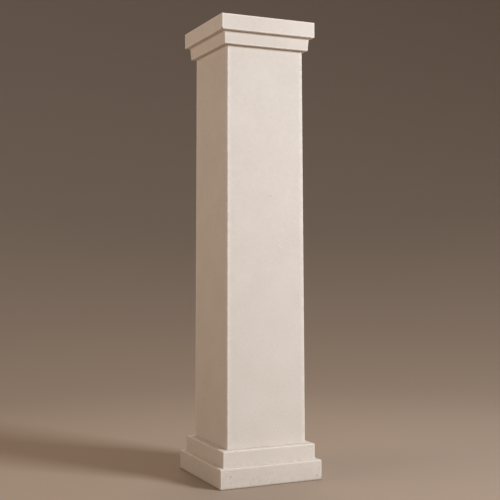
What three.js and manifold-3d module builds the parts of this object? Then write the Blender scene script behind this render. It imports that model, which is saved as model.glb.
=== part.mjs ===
// A square Doric column of pale cast stone, 2.4 m tall: a base of two steps, a plain shaft that
// tapers a little towards the top, and a capital of two plain bands. Each of the three is one
// casting, and they stand on each other on flat beds. Millimetres, +Z up, with the origin at the
// centre of the underside.
import * as THREE from "three";
import { mergeVertices } from "three/addons/utils/BufferGeometryUtils.js";
import Module from "manifold-3d";

// Heights of the courses, from the floor up. The shaft takes what is left of the whole height.
const COLUMN_HEIGHT = 2400;
const PLINTH_HEIGHT = 104;
const STEP_HEIGHT = 82;
const NECK_HEIGHT = 66;
const ABACUS_HEIGHT = 80;

// Widths across the flats. All courses are square in plan and stand on one axis.
const PLINTH_WIDTH = 576;
const STEP_WIDTH = 524;
const SHAFT_FOOT_WIDTH = 448;
const SHAFT_HEAD_WIDTH = 430;
const NECK_FOOT_WIDTH = 477;
const NECK_HEAD_WIDTH = 485;
const ABACUS_WIDTH = 530;

// The edges are eased: the upright ones a little more than the level ones.
const UPRIGHT_ARRIS = 4;
const LEVEL_ARRIS = 3;
const ARRIS_STEPS = 4;

// How deep one course of a casting runs into the next before the two are joined.
const OVERLAP = 25;

// Vertices closer together than this are one.
const WELD_DISTANCE = 1e-3;

const CAST_STONE = { color: 0xe2d8cc, roughness: 0.85, metalness: 0 };

const manifold = await Module();
manifold.setup();

// The plan of a course: a square with rounded corners, centred on the axis.
function squarePlan(width) {
  const half = width / 2;
  const centre = half - UPRIGHT_ARRIS;
  const plan = new THREE.Shape();
  plan.moveTo(-centre, -half);
  plan.absarc(centre, -centre, UPRIGHT_ARRIS, -Math.PI / 2, 0);
  plan.absarc(centre, centre, UPRIGHT_ARRIS, 0, Math.PI / 2);
  plan.absarc(-centre, centre, UPRIGHT_ARRIS, Math.PI / 2, Math.PI);
  plan.absarc(-centre, -centre, UPRIGHT_ARRIS, Math.PI, (Math.PI * 3) / 2);
  return plan;
}

// Draws in the sides of an upright prism, so that it is footWidth wide at z = 0 and headWidth
// wide at the given height. The prism was made footWidth wide.
function batter(geometry, footWidth, headWidth, height) {
  const position = geometry.getAttribute("position");
  const change = (headWidth / footWidth - 1) / height;
  for (let i = 0; i < position.count; i++) {
    const scale = 1 + change * position.getZ(i);
    position.setXY(i, position.getX(i) * scale, position.getY(i) * scale);
  }
  return geometry;
}

// One course: a square slab from z = 0 up, with its level edges eased by levelArris.
function course({ footWidth, headWidth = footWidth, height, levelArris }) {
  const slab = new THREE.ExtrudeGeometry(squarePlan(footWidth), {
    depth: height - 2 * levelArris,
    bevelEnabled: levelArris > 0,
    bevelThickness: levelArris,
    bevelSize: levelArris,
    bevelOffset: -levelArris,
    bevelSegments: ARRIS_STEPS,
    curveSegments: ARRIS_STEPS,
  });
  slab.translate(0, 0, levelArris);
  return batter(slab, footWidth, headWidth, height);
}

function toSolid(geometry) {
  const bare = geometry.clone().deleteAttribute("normal").deleteAttribute("uv");
  const merged = mergeVertices(bare, WELD_DISTANCE);
  return new manifold.Manifold(
    new manifold.Mesh({
      numProp: 3,
      vertProperties: merged.getAttribute("position").array,
      triVerts: new Uint32Array(merged.index.array),
    }),
  );
}

function toGeometry(solid) {
  const mesh = solid.getMesh();
  const geometry = new THREE.BufferGeometry();
  geometry.setAttribute("position", new THREE.BufferAttribute(mesh.vertProperties, 3));
  geometry.setIndex(new THREE.BufferAttribute(mesh.triVerts, 1));
  geometry.computeVertexNormals();
  return geometry;
}

// Two courses that are cast as one block.
function castTogether(lower, upper) {
  return toGeometry(toSolid(lower).add(toSolid(upper)));
}

// The base: a wide plinth with a narrower step on it.
function baseBlock() {
  const plinth = course({
    footWidth: PLINTH_WIDTH,
    height: PLINTH_HEIGHT,
    levelArris: LEVEL_ARRIS,
  });
  const step = course({
    footWidth: STEP_WIDTH,
    height: OVERLAP + STEP_HEIGHT,
    levelArris: LEVEL_ARRIS,
  });
  step.translate(0, 0, PLINTH_HEIGHT - OVERLAP);
  return castTogether(plinth, step);
}

// The shaft: a plain tapering prism, cut square at both ends.
function shaftBlock(height) {
  return course({
    footWidth: SHAFT_FOOT_WIDTH,
    headWidth: SHAFT_HEAD_WIDTH,
    height,
    levelArris: 0,
  });
}

// The capital: a neck band that widens slightly upwards, and the square abacus over it.
function capitalBlock() {
  const widening = (NECK_HEAD_WIDTH - NECK_FOOT_WIDTH) / NECK_HEIGHT;
  const neck = course({
    footWidth: NECK_FOOT_WIDTH,
    headWidth: NECK_HEAD_WIDTH + widening * OVERLAP,
    height: NECK_HEIGHT + OVERLAP,
    levelArris: LEVEL_ARRIS,
  });
  const abacus = course({
    footWidth: ABACUS_WIDTH,
    height: ABACUS_HEIGHT,
    levelArris: LEVEL_ARRIS,
  });
  abacus.translate(0, 0, NECK_HEIGHT);
  return castTogether(neck, abacus);
}

function block(name, geometry, bed) {
  const mesh = new THREE.Mesh(geometry, new THREE.MeshStandardMaterial(CAST_STONE));
  mesh.name = name;
  mesh.position.z = bed;
  return mesh;
}

const shaftBed = PLINTH_HEIGHT + STEP_HEIGHT;
const capitalBed = COLUMN_HEIGHT - ABACUS_HEIGHT - NECK_HEIGHT;

const column = new THREE.Group();
column.add(
  block("base", baseBlock(), 0),
  block("shaft", shaftBlock(capitalBed - shaftBed), shaftBed),
  block("capital", capitalBlock(), capitalBed),
);

export default column;
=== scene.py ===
# A square Doric column of pale cast stone, made ready for pictures. Its three castings get their worn
# edges, their pits and their sandy skin, and stand on a plain floor in soft studio light.
# Metres, +Z up, with the origin at the centre of the underside.
import math
from collections import namedtuple

import bpy
from mathutils import Euler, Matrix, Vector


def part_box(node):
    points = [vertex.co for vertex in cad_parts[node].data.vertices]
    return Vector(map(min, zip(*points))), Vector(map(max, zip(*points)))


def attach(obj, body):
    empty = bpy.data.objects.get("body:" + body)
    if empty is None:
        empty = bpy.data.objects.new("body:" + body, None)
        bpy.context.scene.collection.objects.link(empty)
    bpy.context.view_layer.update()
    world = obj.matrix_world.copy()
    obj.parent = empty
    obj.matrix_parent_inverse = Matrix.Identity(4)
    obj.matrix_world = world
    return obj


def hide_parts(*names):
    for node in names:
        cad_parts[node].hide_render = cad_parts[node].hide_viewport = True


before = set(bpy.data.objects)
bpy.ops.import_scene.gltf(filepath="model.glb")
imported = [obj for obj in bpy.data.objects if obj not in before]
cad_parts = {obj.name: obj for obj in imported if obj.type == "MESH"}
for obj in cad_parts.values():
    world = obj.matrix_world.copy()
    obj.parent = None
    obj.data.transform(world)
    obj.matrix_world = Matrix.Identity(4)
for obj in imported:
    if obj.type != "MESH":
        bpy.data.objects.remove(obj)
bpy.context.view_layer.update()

# The base
# One casting, poured in a mould: a wide plinth with a narrower step on it. Its faces are flat and its
# edges a little rounded, small pits show in its skin, and dust from the floor has darkened it, with painted
# shade along the line where it meets the floor.

PLINTH_HEIGHT = 0.104
STEP_WIDTH = 0.524

UPRIGHT_ARRIS = 0.004
LEVEL_ARRIS = 0.003
INNER_FILLET = 0.002
ARRIS_STEPS = 5
FILLET_STEPS = 4

# The width of a row of faces, and of the narrow one beside an eased edge that keeps the wall flat.
ROW = 0.008
BESIDE_EDGE = 0.0008

# How far inside the outline of its neighbour the last level line of a bed lies, and how far in from the
# rim that of an end face that no casting hides. One flat face fills the middle.
HIDDEN_BED = 0.002
END_MARGIN = 0.030

# How far rubbing and its painted highlight reach from an edge, and dirt and painted shade out of an inner
# corner.
RUB_AND_HIGHLIGHT_REACH = 0.003
SHELTER_REACH = 0.008

base_low, base_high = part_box("base")
shaft_low, shaft_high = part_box("shaft")

# A level line round a block: half its width, its height, half the width of the wall it belongs to, how
# worn it is, how rubbed (paler: rubbed stone and a painted highlight), how sheltered (darker: painted
# shade and dirt), and whether it goes round upright edges.
Level = namedtuple("Level", "half z side wear rub shelter upright", defaults=(0, 0, 0, True))


def quarter_turn(half, z, radius, start, end, steps, side, wear=0, **marks):
    """Levels of a quarter turn about half and z, from start to end in degrees up from outward."""
    levels = []
    for i in range(steps + 1):
        share = i / steps
        angle = math.radians(start + (end - start) * share)
        place = (half + radius * math.cos(angle), z + radius * math.sin(angle))
        levels.append(Level(*place, side, wear * math.sin(math.pi * share), **marks))
    return levels


def eased_foot(half, z):
    return quarter_turn(
        half - LEVEL_ARRIS, z + LEVEL_ARRIS, LEVEL_ARRIS, -90, 0, ARRIS_STEPS, half, wear=1, rub=1
    )


def eased_head(half, z):
    return quarter_turn(
        half - LEVEL_ARRIS, z - LEVEL_ARRIS, LEVEL_ARRIS, 0, 90, ARRIS_STEPS, half, wear=1, rub=1
    )


def inner_corner(half, z, up):
    """The fillet between a wall and the ledge below it, with up 1, or the ledge above it, with up -1."""
    turn = quarter_turn(
        half + INNER_FILLET,
        z + up * INNER_FILLET,
        INNER_FILLET,
        -90 * up,
        -180 * up,
        FILLET_STEPS,
        half,
        shelter=1,
        upright=False,
    )
    return turn if up > 0 else turn[::-1]


def flat_end(half, z, shelter=0):
    return [Level(half, z, half, shelter=shelter, upright=False)]


def faded(mark, distance, reach):
    """What is left of a mark at that distance from where it is made."""
    return mark * math.exp(-distance / reach)


def wall(start, end):
    """Rows of levels between two others. Rub, wear with a painted highlight, fades away from an eased edge,
    and shelter, painted shade with dirt, from a corner.
    """
    length = math.dist(start[:2], end[:2])
    upright = abs(end.z - start.z) > abs(end.half - start.half)
    count = max(1, round(length / ROW))
    shares = [BESIDE_EDGE / length, *(i / count for i in range(1, count)), 1 - BESIDE_EDGE / length]
    rows = []
    for share in shares:
        half, z, side = (a + (b - a) * share for a, b in zip(start[:3], end[:3]))
        from_start = share * length
        from_end = (1 - share) * length
        rub = max(faded(start.rub, from_start, RUB_AND_HIGHLIGHT_REACH), faded(end.rub, from_end, RUB_AND_HIGHLIGHT_REACH))
        shelter = max(
            faded(start.shelter, from_start, SHELTER_REACH), faded(end.shelter, from_end, SHELTER_REACH)
        )
        rows.append(Level(half, z, side, 0, rub, shelter, upright))
    return rows


def joined(*stretches):
    """An outline from its stretches, with a wall of rows between each and the next."""
    outline = list(stretches[0])
    for stretch in stretches[1:]:
        outline += wall(outline[-1], stretch[0]) + list(stretch)
    return outline


def ring(level, gaps):
    """The points of a level line: a square with rounded corners. Each has its wear and its rub, which also
    paints a highlight, at the end.
    """
    radius = UPRIGHT_ARRIS + level.half - level.side
    centre = level.half - radius
    flat = centre - BESIDE_EDGE
    side_line = []
    for i in range(ARRIS_STEPS + 1):
        share = i / ARRIS_STEPS
        angle = math.radians(90 * share - 90)
        place = (centre + radius * math.cos(angle), radius * math.sin(angle) - centre)
        side_line.append((*place, math.sin(math.pi * share), 1))
    for i in range(gaps + 1):
        y = 2 * flat * i / gaps - flat
        side_line.append((level.half, y, 0, faded(1, centre - abs(y), RUB_AND_HIGHLIGHT_REACH)))
    points = []
    for cosine, sine in ((1, 0), (0, 1), (-1, 0), (0, -1)):
        for x, y, corner_wear, corner_rub_and_highlight in side_line:
            place = (x * cosine - y * sine, x * sine + y * cosine, level.z)
            wear = max(level.wear, corner_wear * level.upright)
            rub = max(level.rub, corner_rub_and_highlight * level.upright)
            points.append((*place, wear, rub))
    return points


def casting(name, outline, gaps, head_shows=False):
    """A closed block of level lines, one over the other. Its points carry how worn, rubbed and sheltered
    they are, rubbed also painting a highlight and sheltered painting shade as well as dirt, and its end
    faces whether they are hidden beds."""
    rings = [ring(level, gaps) for level in outline]
    size = len(rings[0])
    last = (len(rings) - 1) * size
    faces = [tuple(reversed(range(size))), tuple(range(last, last + size))]
    beds = [1.0, 0.0 if head_shows else 1.0]
    for k in range(len(rings) - 1):
        for i in range(size):
            j = (i + 1) % size
            faces.append((k * size + i, k * size + j, (k + 1) * size + j, (k + 1) * size + i))
            beds.append(0.0)
    points = [point for line in rings for point in line]
    mesh = bpy.data.meshes.new(name)
    mesh.from_pydata([point[:3] for point in points], [], faces)
    marks = {
        "wear": [point[3] for point in points],
        "rub": [point[4] for point in points],
        "shelter": [level.shelter for level in outline for i in range(size)],
    }
    for mark, values in marks.items():
        mesh.attributes.new(mark, "FLOAT", "POINT").data.foreach_set("value", values)
    mesh.attributes.new("bed", "FLOAT", "FACE").data.foreach_set("value", beds)
    block = bpy.data.objects.new(name, mesh)
    bpy.context.scene.collection.objects.link(block)
    return block


class Wire:
    """An output socket of a node. Signs between wires, or a wire and a number, add their Math nodes."""

    def __init__(self, socket):
        self.socket = socket

    @staticmethod
    def among(sockets, name):
        """A socket by its number, or the one in use that has the name."""
        if isinstance(name, int):
            return sockets[name]
        return next(socket for socket in sockets if socket.name == name and socket.enabled)

    @classmethod
    def node(cls, tree, kind, settings=None, sockets=None, output=0):
        """Adds a node. Its settings are made first, then its sockets get their values or wires."""
        made = tree.nodes.new(kind)
        for name, value in (settings or {}).items():
            setattr(made, name, value)
        for name, value in (sockets or {}).items():
            socket = cls.among(made.inputs, name)
            if isinstance(value, cls):
                tree.links.new(value.socket, socket)
            else:
                socket.default_value = value
        return cls(cls.among(made.outputs, output))

    def side(self, output):
        """Another output of the same node."""
        return Wire(Wire.among(self.socket.node.outputs, output))

    def math(self, operation, left, right):
        return Wire.node(self.socket.id_data, "ShaderNodeMath", {"operation": operation}, {0: left, 1: right})

    def __add__(self, other):
        return self.math("ADD", self, other)

    def __radd__(self, other):
        return self.math("ADD", other, self)

    def __sub__(self, other):
        return self.math("SUBTRACT", self, other)

    def __rsub__(self, other):
        return self.math("SUBTRACT", other, self)

    def __mul__(self, other):
        return self.math("MULTIPLY", self, other)

    def __rmul__(self, other):
        return self.math("MULTIPLY", other, self)

    def __truediv__(self, other):
        return self.math("DIVIDE", self, other)

    def rise(self, start, end):
        """0 below start and 1 past end, with a smooth rise between them."""
        sockets = {"Value": self, "From Min": start, "From Max": end}
        settings = {"interpolation_type": "SMOOTHSTEP"}
        return Wire.node(self.socket.id_data, "ShaderNodeMapRange", settings, sockets)


def noise(tree, scale, detail=2.0, rough=0.5, place=None):
    """Cloudy noise, in its cells per metre. In a mesh tree its place is the point's own."""
    sockets = {"Scale": scale, "Detail": detail, "Roughness": rough}
    if place:
        sockets["Vector"] = place
    return Wire.node(tree, "ShaderNodeTexNoise", {}, sockets)


def carried(tree, name):
    """A number that each point or face of the casting carries."""
    return Wire.node(tree, "GeometryNodeInputNamedAttribute", {"data_type": "FLOAT"}, {"Name": name})


def scaled(tree, vector, factor):
    return Wire.node(tree, "ShaderNodeVectorMath", {"operation": "SCALE"}, {0: vector, "Scale": factor})


def pushed(tree, geometry, offset):
    return Wire.node(tree, "GeometryNodeSetPosition", {}, {"Geometry": geometry, "Offset": offset})


def drawn(tree, kind, lowest, highest, seed):
    """A random number or vector for each point."""
    sockets = {"Min": lowest, "Max": highest, "Seed": seed}
    return Wire.node(tree, "FunctionNodeRandomValue", {"data_type": kind}, sockets, "Value")


# A kind of hollow: its smallest and largest radius, how deep it is for its radius, how far its skin
# sways and in how many cells per metre, how dark its faces are painted, as dirt and as painted shade
# in the hollow, and how finely it is divided. Each knock has a radius of its own and is as deep as that.
Hollow = namedtuple("Hollow", "smallest largest depth sway cells dirt divisions")
PIT = Hollow(smallest=0.0010, largest=0.0020, depth=0.6, sway=0.0005, cells=400.0, dirt=0.52, divisions=2)
PIN_HOLE = Hollow(
    smallest=0.0004, largest=0.0009, depth=0.9, sway=0.0002, cells=900.0, dirt=0.9, divisions=1
)
CHIP = Hollow(smallest=0.0012, largest=0.0034, depth=0.6, sway=0.0012, cells=350.0, dirt=0.05, divisions=2)
KNOCK = Hollow(smallest=1.0, largest=1.0, depth=1.0, sway=0.0014, cells=280.0, dirt=0.35, divisions=3)

# Two hollows of a kind lie at least this many of its largest radii apart, so that no cutters touch.
HOLLOW_SPACING = 2.7

# By what share hollows of a size vary in length and width, and in depth.
WIDTH_SPREAD = 0.25
DEPTH_SPREAD = 0.3


def cut(tree, geometry, cutters, kind):
    """Takes cutters with an uneven skin out of a casting, and marks how dark the new faces are painted, as
    dirt and as painted shade in the hollow.
    """
    solid = Wire.node(tree, "GeometryNodeRealizeInstances", {}, {"Geometry": cutters})
    drift = {0: noise(tree, kind.cells).side("Color"), 1: (0.5, 0.5, 0.5)}
    sway = Wire.node(tree, "ShaderNodeVectorMath", {"operation": "SUBTRACT"}, drift)
    uneven = pushed(tree, solid, scaled(tree, sway, kind.sway))
    marked = Wire.node(
        tree,
        "GeometryNodeStoreNamedAttribute",
        {"data_type": "FLOAT", "domain": "FACE"},
        {"Geometry": uneven, "Name": "hollow", "Value": kind.dirt},
    )
    return Wire.node(
        tree,
        "GeometryNodeMeshBoolean",
        {"operation": "DIFFERENCE", "solver": "MANIFOLD"},
        {"Mesh 1": geometry, "Mesh 2": marked},
    )


def opened(tree, geometry, kind, most, share, seed):
    """Opens hollows at random in the faces of a casting: a share of most, which is a number per square
    metre. Their cutters face out of the skin, and few come near the largest size."""
    points = Wire.node(
        tree,
        "GeometryNodeDistributePointsOnFaces",
        {"distribute_method": "POISSON"},
        {
            "Mesh": geometry,
            "Distance Min": HOLLOW_SPACING * kind.largest,
            "Density Max": most,
            "Density Factor": share,
            "Seed": seed,
        },
    )
    ball = Wire.node(tree, "GeometryNodeMeshIcoSphere", {}, {"Radius": 1.0, "Subdivisions": kind.divisions})
    chance = drawn(tree, "FLOAT", 0.0, 1.0, seed)
    least = (1 - WIDTH_SPREAD, 1 - WIDTH_SPREAD, (1 - DEPTH_SPREAD) * kind.depth)
    greatest = (1 + WIDTH_SPREAD, 1 + WIDTH_SPREAD, (1 + DEPTH_SPREAD) * kind.depth)
    stretch = drawn(tree, "FLOAT_VECTOR", least, greatest, seed)
    turn = drawn(tree, "FLOAT_VECTOR", (0.0, 0.0, 0.0), (0.0, 0.0, math.tau), seed)
    rotation = Wire.node(
        tree,
        "FunctionNodeRotateRotation",
        {"rotation_space": "LOCAL"},
        {"Rotation": points.side("Rotation"), "Rotate By": turn},
    )
    radius = kind.smallest + (kind.largest - kind.smallest) * chance * chance
    cutters = Wire.node(
        tree,
        "GeometryNodeInstanceOnPoints",
        {},
        {"Points": points, "Instance": ball, "Rotation": rotation, "Scale": scaled(tree, stretch, radius)},
    )
    return cut(tree, geometry, cutters, kind)


# Cells per metre of the noises that vary the wear of edges, place their nicks and gather pits.
WEAR_PATCHES = 40.0
NICK_PATCHES = 26.0
PIT_GROUPS = 15.0

# From where to where nicks and groups of pits set in as their noise rises, and chips as the wear does.
NICK_ONSET = (0.60, 0.74)
GROUP_ONSET = (0.50, 0.66)
CHIP_ONSET = (0.2, 0.8)

# How thickly pits are scattered between the groups, as a share of how thickly they lie in them.
SCATTERED_PITS = 0.12

# Pits are drawn from the casting's own seed, and chips and pin holes from seeds this far past it.
CHIP_SEED = 3
PIN_HOLE_SEED = 7

# Where two faces meet at more than this angle, the edge between them stays sharp.
CREASE = math.radians(26)


def weathering():
    """The tree that wears and chips the edges of a casting, opens its pits and knocks it here and there."""
    tree = bpy.data.node_groups.new("weathering", "GeometryNodeTree")
    tree.interface.new_socket("Geometry", in_out="INPUT", socket_type="NodeSocketGeometry")
    for name in ("Edge Wear", "Nick Depth", "Chips", "Pits", "Pits at Foot", "Foot Height", "Pin Holes"):
        tree.interface.new_socket(name, in_out="INPUT", socket_type="NodeSocketFloat")
    tree.interface.new_socket("Seed", in_out="INPUT", socket_type="NodeSocketInt")
    tree.interface.new_socket("Knocks", in_out="INPUT", socket_type="NodeSocketObject")
    tree.interface.new_socket("Finish", in_out="INPUT", socket_type="NodeSocketMaterial")
    tree.interface.new_socket("Geometry", in_out="OUTPUT", socket_type="NodeSocketGeometry")
    entry = Wire.node(tree, "NodeGroupInput")
    seed = entry.side("Seed")

    # Edges wear unevenly all along, and deeper where a second noise peaks.
    normal = Wire.node(tree, "GeometryNodeInputNormal")
    unevenness = noise(tree, WEAR_PATCHES)
    nick = noise(tree, NICK_PATCHES, detail=1.0).rise(*NICK_ONSET)
    depth = carried(tree, "wear") * (entry.side("Edge Wear") * unevenness + entry.side("Nick Depth") * nick)
    worn = pushed(tree, entry, scaled(tree, normal, 0 - depth))

    # Small chips are broken out of the edges, at most as many on each metre as Chips says.
    edge_area = math.pi / 2 * UPRIGHT_ARRIS
    on_edge = carried(tree, "wear").rise(*CHIP_ONSET)
    chipped = opened(tree, worn, CHIP, entry.side("Chips") / edge_area, on_edge, seed + CHIP_SEED)

    # Pits and pin holes come in groups, and there are more pits near the foot.
    place = Wire.node(tree, "GeometryNodeInputPosition")
    height = Wire.node(tree, "ShaderNodeSeparateXYZ", {}, {"Vector": place}, "Z")
    nearness = 1 - height.rise(0.0, entry.side("Foot Height"))
    grouped = SCATTERED_PITS + (1 - SCATTERED_PITS) * noise(tree, PIT_GROUPS).rise(*GROUP_ONSET)
    open_skin = (1 - carried(tree, "bed")) * grouped
    most = entry.side("Pits") + entry.side("Pits at Foot")
    here = entry.side("Pits") + entry.side("Pits at Foot") * nearness
    pitted = opened(tree, chipped, PIT, most, open_skin * here / most, seed)
    peppered = opened(tree, pitted, PIN_HOLE, entry.side("Pin Holes"), open_skin, seed + PIN_HOLE_SEED)

    # Knocks are scoops at the places that the casting names.
    places = Wire.node(tree, "GeometryNodeObjectInfo", {}, {"Object": entry.side("Knocks")}, "Geometry")
    scoop = Wire.node(tree, "GeometryNodeMeshIcoSphere", {}, {"Radius": 1.0, "Subdivisions": KNOCK.divisions})
    scoops = Wire.node(
        tree,
        "GeometryNodeInstanceOnPoints",
        {},
        {"Points": places, "Instance": scoop, "Scale": carried(tree, "width")},
    )
    knocked = cut(tree, peppered, scoops, KNOCK)

    # Rims stay sharp, and rounded edges smooth.
    angle = Wire.node(tree, "GeometryNodeInputMeshEdgeAngle")
    crease = Wire.node(
        tree,
        "FunctionNodeCompare",
        {"data_type": "FLOAT", "operation": "GREATER_THAN"},
        {0: angle, 1: CREASE},
    )
    smooth = Wire.node(
        tree, "GeometryNodeSetShadeSmooth", {"domain": "FACE"}, {"Geometry": knocked, "Shade Smooth": True}
    )
    creased = Wire.node(
        tree,
        "GeometryNodeSetShadeSmooth",
        {"domain": "EDGE"},
        {"Geometry": smooth, "Selection": crease, "Shade Smooth": False},
    )
    whole = Wire.node(tree, "GeometryNodeRealizeInstances", {}, {"Geometry": creased})
    finish = {"Geometry": whole, "Material": entry.side("Finish")}
    finished = Wire.node(tree, "GeometryNodeSetMaterial", {}, finish)
    leave = tree.nodes.new("NodeGroupOutput")
    tree.links.new(finished.socket, leave.inputs["Geometry"])
    return tree


WEATHERING = weathering()


def weathered(block, finish, knocks, **amounts):
    """Runs the weathering on a block and keeps what it gives as the block's plain mesh."""
    places = bpy.data.meshes.new(block.name + "_knocks")
    places.from_pydata([place for place, radius in knocks], [], [])
    radii = [radius for place, radius in knocks]
    places.attributes.new("width", "FLOAT", "POINT").data.foreach_set("value", radii)
    marks = bpy.data.objects.new(places.name, places)
    values = {"finish": finish, "knocks": marks, **amounts}
    modifier = block.modifiers.new("weathering", "NODES")
    modifier.node_group = WEATHERING
    for item in WEATHERING.interface.items_tree:
        label = item.name.lower().replace(" ", "_")
        if item.in_out == "INPUT" and label in values:
            modifier[item.identifier] = values[label]
    shown = block.evaluated_get(bpy.context.evaluated_depsgraph_get())
    mesh = bpy.data.meshes.new_from_object(shown)
    for mark in ("wear", "bed", "width", "id"):
        mesh.attributes.remove(mesh.attributes[mark])
    block.modifiers.clear()
    block.data = mesh
    bpy.data.objects.remove(marks)


# The paste of the casting and its palest patches, its dark and its pale grains, the bare stone of a
# rubbed edge, which is also a painted highlight, and the colour of dirt and of painted shade in corners,
# beds and holes and along the floor line.
PASTE = (0.66, 0.595, 0.530, 1)
PALE_PASTE = (0.74, 0.675, 0.615, 1)
DARK_GRAIN = (0.40, 0.34, 0.28, 1)
PALE_GRAIN = (0.90, 0.86, 0.81, 1)
RUBBED_AND_HIGHLIT = (0.83, 0.775, 0.715, 1)
DIRT_AND_SHADE = (0.36, 0.28, 0.20, 1)

# Cells per metre of the patterns in its skin, from the largest to the finest.
CLOUDS = 5.0
BLOTCHES = 38.0
GRAINS = 115.0
SAND = 430.0

# How much the larger patterns and the sand vary the paste.
CLOUD_TONE = 1.1
BLOTCH_TONE = 0.9
SAND_TONE = 0.5

# Of all grains, the share that shows plainly as dark ones, and the share that shows faintly. Pale ones
# have the same shares. Of those, this part shows in full, and the rest less and less.
PLAIN_GRAINS = 0.03
FAINT_GRAINS = 0.20
SHOWN_IN_FULL = 0.9

# How strong the four sorts of grain are, and from where to where a grain fades, in parts of a cell.
PLAIN_DARK = 0.25
FAINT_DARK = 0.12
PLAIN_PALE = 0.9
FAINT_PALE = 0.16
GRAIN_RIM = (0.08, 0.32)

# Splashes wash the paste off the sand, most at the floor and not above this height. There the sand and the
# grains show this much more than where nothing is washed off.
WASHED_HEIGHT = 2.2
WASHING = 1.5

# From where to where patches set in as the blotches rise, and rubbing with its painted highlight as an edge
# is more rubbed.
PATCH_ONSET = (0.38, 0.66)
RUB_AND_HIGHLIGHT_ONSET = (0.1, 0.9)

# How strong rubbing with its painted highlight, soil from the floor, and dirt with painted shade in corners
# are between the patches and in them.
RUBBING_AND_HIGHLIGHT = (0.35, 0.80)
SOILING = (0.4, 1.0)
CORNER_SHADE_AND_DIRT = (0.05, 0.17)

# How high the painted contact shadow, with some grime, reaches along the line where the base meets the floor,
# and how strong it is.
CONTACT_HEIGHT = 0.012
CONTACT_SHADE_AND_GRIME = 0.9

# How much the sand, the grains and the blotches raise the skin, as shares of the bump's own distance.
SAND_RELIEF = 0.6
GRAIN_RELIEF = 0.35
BLOTCH_RELIEF = 0.5

# How rough the skin is, how much the sand varies that, and how much rubbing takes off it.
ROUGHNESS = 0.86
SAND_ROUGHNESS = 0.12
RUBBED_SMOOTH = 0.08


def mixed(factor, low, high):
    """A colour between two others."""
    sockets = {"Factor": factor, "A": low, "B": high}
    return Wire.node(factor.socket.id_data, "ShaderNodeMix", {"data_type": "RGBA"}, sockets, "Result")


def from_top(kind, share):
    """1 on that share of all grains, taken from the highest kinds down."""
    return kind.rise(1 - share, 1 - SHOWN_IN_FULL * share)


def from_bottom(kind, share):
    """1 on that share of all grains, taken from the lowest kinds up."""
    return 1 - kind.rise(SHOWN_IN_FULL * share, share)


def between(share, low, high):
    return low + (high - low) * share


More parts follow.
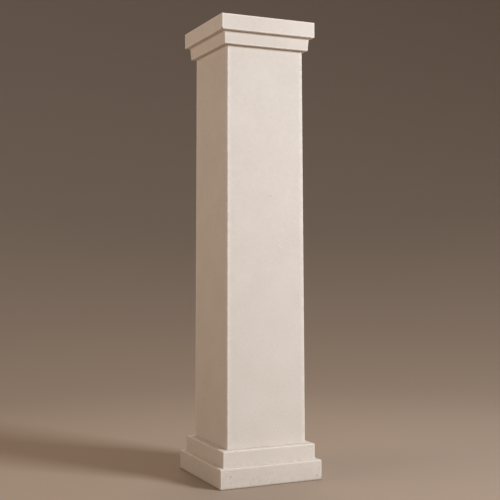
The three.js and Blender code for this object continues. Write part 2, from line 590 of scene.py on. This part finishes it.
def cast_stone(name, soil, soil_height):
    """Matt cast stone. Fine sand shows in its skin; edges are painted paler, as rubbed stone and as a painted
    highlight; corners, beds, hollows and the floor line are painted darker, as dirt and as painted shade.
    Soil is how dirty it is at the floor, and soil_height how far up that reaches."""
    finish = bpy.data.materials.new(name)
    finish.use_nodes = True
    tree = finish.node_tree
    tree.nodes.clear()
    place = Wire.node(tree, "ShaderNodeTexCoord", output="Object")
    height = Wire.node(tree, "ShaderNodeSeparateXYZ", {}, {"Vector": place}, "Z")
    rub = Wire.node(tree, "ShaderNodeAttribute", {"attribute_name": "rub"}, {}, "Fac")
    # Shelter marks inner corners and the beds between the castings, which are painted darker: painted shade,
    # with some dirt.
    shelter = Wire.node(tree, "ShaderNodeAttribute", {"attribute_name": "shelter"}, {}, "Fac")
    # Hollow marks the faces of pits, pin holes, chips and knocks, which are painted darker: painted shade
    # inside the hollow, with some dirt.
    hollow = Wire.node(tree, "ShaderNodeAttribute", {"attribute_name": "hollow"}, {}, "Fac")

    clouds = noise(tree, CLOUDS, detail=3.0, rough=0.5, place=place)
    blotches = noise(tree, BLOTCHES, detail=3.0, rough=0.6, place=place)
    sand = noise(tree, SAND, detail=3.0, rough=0.7, place=place)
    washed = 1 + WASHING * (1 - height.rise(0.0, WASHED_HEIGHT))
    larger_tone = CLOUD_TONE * (clouds - 0.5) + BLOTCH_TONE * (blotches - 0.5)
    tone = 0.5 + larger_tone + SAND_TONE * washed * (sand - 0.5)
    colour = mixed(tone, PASTE, PALE_PASTE)

    # Each grain has a kind, a number drawn from 0 to 1. The highest kinds are dark and the lowest pale.
    grains = Wire.node(tree, "ShaderNodeTexVoronoi", {}, {"Vector": place, "Scale": GRAINS})
    kind = Wire.node(tree, "ShaderNodeSeparateColor", {}, {"Color": grains.side("Color")}, "Red")
    grain = 1 - grains.rise(*GRAIN_RIM)
    dark = FAINT_DARK * from_top(kind, FAINT_GRAINS) + PLAIN_DARK * from_top(kind, PLAIN_GRAINS)
    pale = FAINT_PALE * from_bottom(kind, FAINT_GRAINS) + PLAIN_PALE * from_bottom(kind, PLAIN_GRAINS)
    colour = mixed(washed * grain * dark, colour, DARK_GRAIN)
    colour = mixed(washed * grain * pale, colour, PALE_GRAIN)

    patchy = blotches.rise(*PATCH_ONSET)
    # Eased edges are painted paler: partly rubbed stone, partly a painted highlight.
    rubbed_and_highlit = rub.rise(*RUB_AND_HIGHLIGHT_ONSET) * between(patchy, *RUBBING_AND_HIGHLIGHT)
    colour = mixed(rubbed_and_highlit, colour, RUBBED_AND_HIGHLIT)
    soiled = soil * (1 - height.rise(0.0, soil_height)) * between(patchy, *SOILING)
    # Painted contact shadow, with some grime, darkens the lowest part of the base along the floor line.
    contact = CONTACT_SHADE_AND_GRIME * (1 - height.rise(0.0, CONTACT_HEIGHT))
    # Corners, beds, hollows, soil and the floor line all darken towards one colour, for dirt and for painted
    # shade.
    dirt = shelter * between(patchy, *CORNER_SHADE_AND_DIRT) + hollow + soiled + contact
    colour = mixed(dirt, colour, DIRT_AND_SHADE)

    relief = washed * (SAND_RELIEF * sand + GRAIN_RELIEF * grain) + BLOTCH_RELIEF * blotches
    skin = Wire.node(tree, "ShaderNodeBump", {}, {"Strength": 0.4, "Distance": 0.0008, "Height": relief})
    roughness = ROUGHNESS + SAND_ROUGHNESS * (sand - 0.5) - RUBBED_SMOOTH * rubbed_and_highlit
    stone = Wire.node(
        tree,
        "ShaderNodeBsdfPrincipled",
        {},
        {"Base Color": colour, "Roughness": roughness, "Specular IOR Level": 0.35, "Normal": skin},
    )
    surface = tree.nodes.new("ShaderNodeOutputMaterial")
    tree.links.new(stone.socket, surface.inputs["Surface"])
    return finish


base_half = base_high.x
base_top = base_high.z
step_half = STEP_WIDTH / 2
shaft_half = shaft_high.x

# Two knocks near the floor, at and beside the corner between the faces towards +X and -Y, one in the face
# towards -Y, and one in the upper edge of the plinth towards -X. A knock is the centre of a scoop and its
# radius.
BASE_KNOCKS = [
    ((base_half - 0.001, 0.001 - base_half, 0.012), 0.0055),
    ((base_half - 0.031, -base_half - 0.002, 0.025), 0.0050),
    ((-0.232, -base_half - 0.001, 0.062), 0.0036),
    ((-base_half, 0.09, PLINTH_HEIGHT - 0.001), 0.0040),
]

base = casting(
    "cast_base",
    joined(
        flat_end(base_half - END_MARGIN, base_low.z),
        eased_foot(base_half, base_low.z),
        eased_head(base_half, PLINTH_HEIGHT),
        inner_corner(step_half, PLINTH_HEIGHT, up=1),
        eased_head(step_half, base_top),
        flat_end(shaft_half - HIDDEN_BED, base_top, shelter=1),
    ),
    gaps=60,
)
weathered(
    base,
    cast_stone("base_stone", soil=0.22, soil_height=0.25),
    BASE_KNOCKS,
    edge_wear=0.0009,
    nick_depth=0.0014,
    chips=14.0,
    pits=450.0,
    pits_at_foot=250.0,
    foot_height=0.3,
    pin_holes=1000.0,
    seed=11,
)
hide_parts("base")
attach(base, "root")

# The shaft
# One tapering casting that stands on the base by its weight. It was poured lying in its mould, and its
# pits show most in its lower half.

SHAFT_HEAD_WIDTH = 0.430
BED_ARRIS = 0.001
BED_ARRIS_STEPS = 2

shaft_head_half = SHAFT_HEAD_WIDTH / 2


def shaft_face(z):
    """How far the faces of the shaft are from its axis at that height."""
    return shaft_half + (shaft_head_half - shaft_half) * (z - shaft_low.z) / (shaft_high.z - shaft_low.z)


def bed_edge(half, z, up):
    """The edge of the bed at the foot of the shaft, with up 1, or at its head, with up -1."""
    turn = quarter_turn(
        half - BED_ARRIS,
        z + up * BED_ARRIS,
        BED_ARRIS,
        -90 * up,
        0,
        BED_ARRIS_STEPS,
        half,
        shelter=1,
    )
    return turn if up > 0 else turn[::-1]


# The pits that show most, on the face towards -Y and on the one towards -X: how far along the face each
# is in the direction of +X or +Y, its height, and its radius.
FRONT_PITS = [
    (0.027, 1.482, 0.0035),
    (-0.036, 1.501, 0.0019),
    (-0.080, 1.825, 0.0017),
    (0.002, 0.983, 0.0020),
    (0.025, 1.019, 0.0019),
    (-0.134, 0.975, 0.0018),
    (-0.118, 0.918, 0.0019),
    (-0.040, 0.632, 0.0021),
    (0.087, 0.616, 0.0014),
    (0.086, 0.413, 0.0018),
    (-0.131, 0.335, 0.0020),
]
LEFT_PITS = [
    (-0.150, 0.608, 0.0046),
    (0.037, 1.817, 0.0042),
    (0.085, 0.407, 0.0044),
    (0.086, 0.498, 0.0042),
    (-0.040, 0.744, 0.0042),
    (-0.066, 1.086, 0.0042),
]

# How far in front of the face such a pit is centred, for its radius.
PIT_CENTRE = 0.35

# These pits are scooped out as knocks are. One more knock is in the edge between the two faces.
SHAFT_KNOCKS = [
    ((-shaft_half, -0.99 * shaft_half, 0.93), 0.0030),
    *(((x, -shaft_face(z) - PIT_CENTRE * radius, z), radius) for x, z, radius in FRONT_PITS),
    *(((-shaft_face(z) - PIT_CENTRE * radius, y, z), radius) for y, z, radius in LEFT_PITS),
]

shaft = casting(
    "cast_shaft",
    joined(bed_edge(shaft_half, shaft_low.z, up=1), bed_edge(shaft_head_half, shaft_high.z, up=-1)),
    gaps=14,
)
weathered(
    shaft,
    cast_stone("shaft_stone", soil=0.10, soil_height=1.6),
    SHAFT_KNOCKS,
    edge_wear=0.0008,
    nick_depth=0.0012,
    chips=4.0,
    pits=150.0,
    pits_at_foot=400.0,
    foot_height=2.2,
    pin_holes=900.0,
    seed=23,
)
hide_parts("shaft")
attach(shaft, "root")

# The capital
# One casting set on the shaft: a neck band that widens slightly upwards, and a square abacus over it.
# Out of reach of feet and brooms, it has stayed the cleanest of the three.

NECK_FOOT_WIDTH = 0.477
NECK_HEAD_WIDTH = 0.485
ABACUS_HEIGHT = 0.080

capital_low, capital_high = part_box("capital")
abacus_half = capital_high.x
abacus_low = capital_high.z - ABACUS_HEIGHT
neck_head_half = NECK_HEAD_WIDTH / 2

# One knock in the lower corner of the abacus between its faces towards -X and -Y, and three in the neck
# band towards -Y.
CAPITAL_KNOCKS = [
    ((-abacus_half, -abacus_half, abacus_low + 0.001), 0.0065),
    ((-0.157, -neck_head_half, 2.273), 0.0032),
    ((-0.104, -neck_head_half, 2.281), 0.0024),
    ((0.042, -neck_head_half, 2.290), 0.0026),
]

capital = casting(
    "cast_capital",
    joined(
        flat_end(shaft_head_half - HIDDEN_BED, capital_low.z, shelter=1),
        eased_foot(NECK_FOOT_WIDTH / 2, capital_low.z),
        inner_corner(neck_head_half, abacus_low, up=-1),
        eased_foot(abacus_half, abacus_low),
        eased_head(abacus_half, capital_high.z),
        flat_end(abacus_half - END_MARGIN, capital_high.z),
    ),
    gaps=56,
    head_shows=True,
)
weathered(
    capital,
    cast_stone("capital_stone", soil=0.0, soil_height=1.0),
    CAPITAL_KNOCKS,
    edge_wear=0.0008,
    nick_depth=0.0012,
    chips=16.0,
    pits=500.0,
    pits_at_foot=0.0,
    foot_height=1.0,
    pin_holes=1200.0,
    seed=37,
)
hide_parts("capital")
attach(capital, "root")

# The floor
# A plain pale floor that curves up into a plain wall all round, so that no edge shows behind the column.
# The two belong to the pictures and not to the column.

FLOOR_RINGS = (0.6, 2.0)
FLOOR_REACH = 3.2
COVE_RADIUS = 7.0
COVE_STEPS = 24
COVE_SIDES = 96
WALL_TOP = 9.0
FLOOR_COLOUR = (0.38, 0.30, 0.24, 1)

cove_outline = [(reach, 0.0) for reach in FLOOR_RINGS]
for i in range(COVE_STEPS + 1):
    angle = math.radians(90 * i / COVE_STEPS)
    cove_outline.append((FLOOR_REACH + COVE_RADIUS * math.sin(angle), COVE_RADIUS * (1 - math.cos(angle))))
cove_outline.append((FLOOR_REACH + COVE_RADIUS, WALL_TOP))
cove_points = [
    (reach * math.cos(math.tau * i / COVE_SIDES), reach * math.sin(math.tau * i / COVE_SIDES), z)
    for reach, z in cove_outline
    for i in range(COVE_SIDES)
]
cove_faces = [tuple(range(COVE_SIDES))]
for k in range(len(cove_outline) - 1):
    for i in range(COVE_SIDES):
        j = (i + 1) % COVE_SIDES
        below = k * COVE_SIDES
        above = below + COVE_SIDES
        cove_faces.append((below + j, below + i, above + i, above + j))
cove_mesh = bpy.data.meshes.new("studio_floor")
cove_mesh.from_pydata(cove_points, [], cove_faces)
cove_mesh.shade_smooth()
studio_floor = bpy.data.objects.new("studio_floor", cove_mesh)
bpy.context.scene.collection.objects.link(studio_floor)

floor_paint = bpy.data.materials.new("floor_paint")
floor_paint.use_nodes = True
floor_shader = floor_paint.node_tree.nodes["Principled BSDF"]
floor_shader.inputs["Base Color"].default_value = FLOOR_COLOUR
floor_shader.inputs["Roughness"].default_value = 0.9
floor_shader.inputs["Specular IOR Level"].default_value = 0.1
cove_mesh.materials.append(floor_paint)

# The lights
# A large soft light to the right of the camera, a warm fill on the left, and weak lights overhead and high
# up behind, so that no side is in the dark. The first has a narrower beam, to spare the wall behind it.

KEY_COLOUR = (0.933, 0.963, 1.0)
FILL_COLOUR = (1.0, 0.85, 0.71)
AIR_STRENGTH = 0.05


def soft_light(name, azimuth, reach, height, aim_height, size, power, colour, spread=180):
    """A square light at that distance from the axis of the column, turned to it at aim_height. Azimuth is
    in degrees from -Y towards +X, and spread is the angle of the beam."""
    lamp = bpy.data.lights.new(name, "AREA")
    lamp.spread = math.radians(spread)
    lamp.size = size
    lamp.energy = power
    lamp.color = colour
    light = bpy.data.objects.new(name, lamp)
    turn = math.radians(azimuth)
    light.location = (reach * math.sin(turn), -reach * math.cos(turn), height)
    light.rotation_euler = (math.atan2(reach, height - aim_height), 0, turn)
    light.visible_camera = False
    bpy.context.scene.collection.objects.link(light)


soft_light(
    "key",
    azimuth=38,
    reach=8.0,
    height=4.6,
    aim_height=1.3,
    size=2.4,
    power=489,
    colour=KEY_COLOUR,
    spread=140,
)
soft_light(
    "left_fill",
    azimuth=-95,
    reach=5.0,
    height=3.2,
    aim_height=1.6,
    size=3.5,
    power=94,
    colour=FILL_COLOUR,
)
soft_light(
    "overhead",
    azimuth=0,
    reach=0.0,
    height=5.6,
    aim_height=0.0,
    size=2.4,
    power=60,
    colour=FILL_COLOUR,
)
soft_light(
    "behind",
    azimuth=155,
    reach=3.2,
    height=5.0,
    aim_height=1.0,
    size=2.4,
    power=60,
    colour=FILL_COLOUR,
)

studio_air = bpy.data.worlds.new("studio_air")
studio_air.use_nodes = True
air = studio_air.node_tree.nodes["Background"]
air.inputs["Color"].default_value = (*FILL_COLOUR, 1)
air.inputs["Strength"].default_value = AIR_STRENGTH
bpy.context.scene.world = studio_air
bpy.context.scene.view_settings.view_transform = "Standard"

# The camera
# It stands to the left of the face towards -Y, at a little under half the column's height, and looks almost
# level. Its angles are in degrees, and its lens is in millimetres.

CAMERA_AZIMUTH = -24.37
CAMERA_DISTANCE = 5.179
CAMERA_HEIGHT = 1.164
CAMERA_PITCH = 0.4525
CAMERA_YAW = -0.0874
CAMERA_ROLL = -0.1168
CAMERA_LENS = 69.1

camera_lens = bpy.data.cameras.new("camera")
camera_lens.lens = CAMERA_LENS
camera = bpy.data.objects.new("camera", camera_lens)
camera_turn = math.radians(CAMERA_AZIMUTH)
camera.location = (
    CAMERA_DISTANCE * math.sin(camera_turn),
    -CAMERA_DISTANCE * math.cos(camera_turn),
    CAMERA_HEIGHT,
)
aim = Euler((math.radians(90 + CAMERA_PITCH), 0, camera_turn + math.radians(CAMERA_YAW))).to_matrix()
roll = Euler((0, 0, math.radians(CAMERA_ROLL))).to_matrix()
camera.rotation_euler = (aim @ roll).to_euler()
bpy.context.scene.collection.objects.link(camera)
bpy.context.scene.camera = camera
